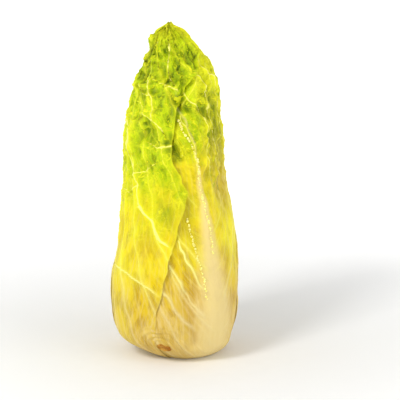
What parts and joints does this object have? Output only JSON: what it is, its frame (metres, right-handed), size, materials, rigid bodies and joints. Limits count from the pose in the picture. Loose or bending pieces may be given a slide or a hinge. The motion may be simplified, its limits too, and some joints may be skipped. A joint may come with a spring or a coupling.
{
  "type": "sugarloaf chicory",
  "caption": "Tall pointed head of sugarloaf chicory: crinkled lime tips, pale broad-ribbed leaf bases, folded leaf over leaf round a short cut stem.",
  "frame": {"origin": "centre of the cut face of the stem, which the head stands on", "axes": "+Z from the cut stem to the tip of the head, -Y the front with the torn leaf edge, +X to the right of that front"},
  "size_m": [0.1179, 0.1225, 0.319],
  "materials": {
    "lime_leaf": "satin, crinkled, lime above and cream below",
    "yellow_leaf": "satin, yellow",
    "pale_heart_leaf": "satin, pale cream yellow",
    "cut_stem": "matt, dried cut"
  },
  "bodies": {
    "root": {"short_wrapper_leaf_left": "lime_leaf", "short_wrapper_leaf_right": "lime_leaf", "torn_wrapper_leaf": "lime_leaf", "broad_rib_wrapper_leaf": "lime_leaf", "back_wrapper_leaf": "lime_leaf", "head_leaf_01": "yellow_leaf", "head_leaf_02": "yellow_leaf", "head_leaf_03": "yellow_leaf", "head_leaf_04": "yellow_leaf", "head_leaf_05": "yellow_leaf", "head_leaf_06": "yellow_leaf", "heart_leaf_01": "pale_heart_leaf", "heart_leaf_02": "pale_heart_leaf", "heart_leaf_03": "pale_heart_leaf", "heart_leaf_04": "pale_heart_leaf", "heart_leaf_05": "pale_heart_leaf", "heart_leaf_06": "pale_heart_leaf", "heart_leaf_07": "pale_heart_leaf", "heart_leaf_08": "pale_heart_leaf", "heart_leaf_09": "pale_heart_leaf", "heart_leaf_10": "pale_heart_leaf", "heart_leaf_11": "pale_heart_leaf", "heart_leaf_12": "pale_heart_leaf", "heart_leaf_13": "pale_heart_leaf", "stem": "cut_stem"}
  },
  "joints": []
}
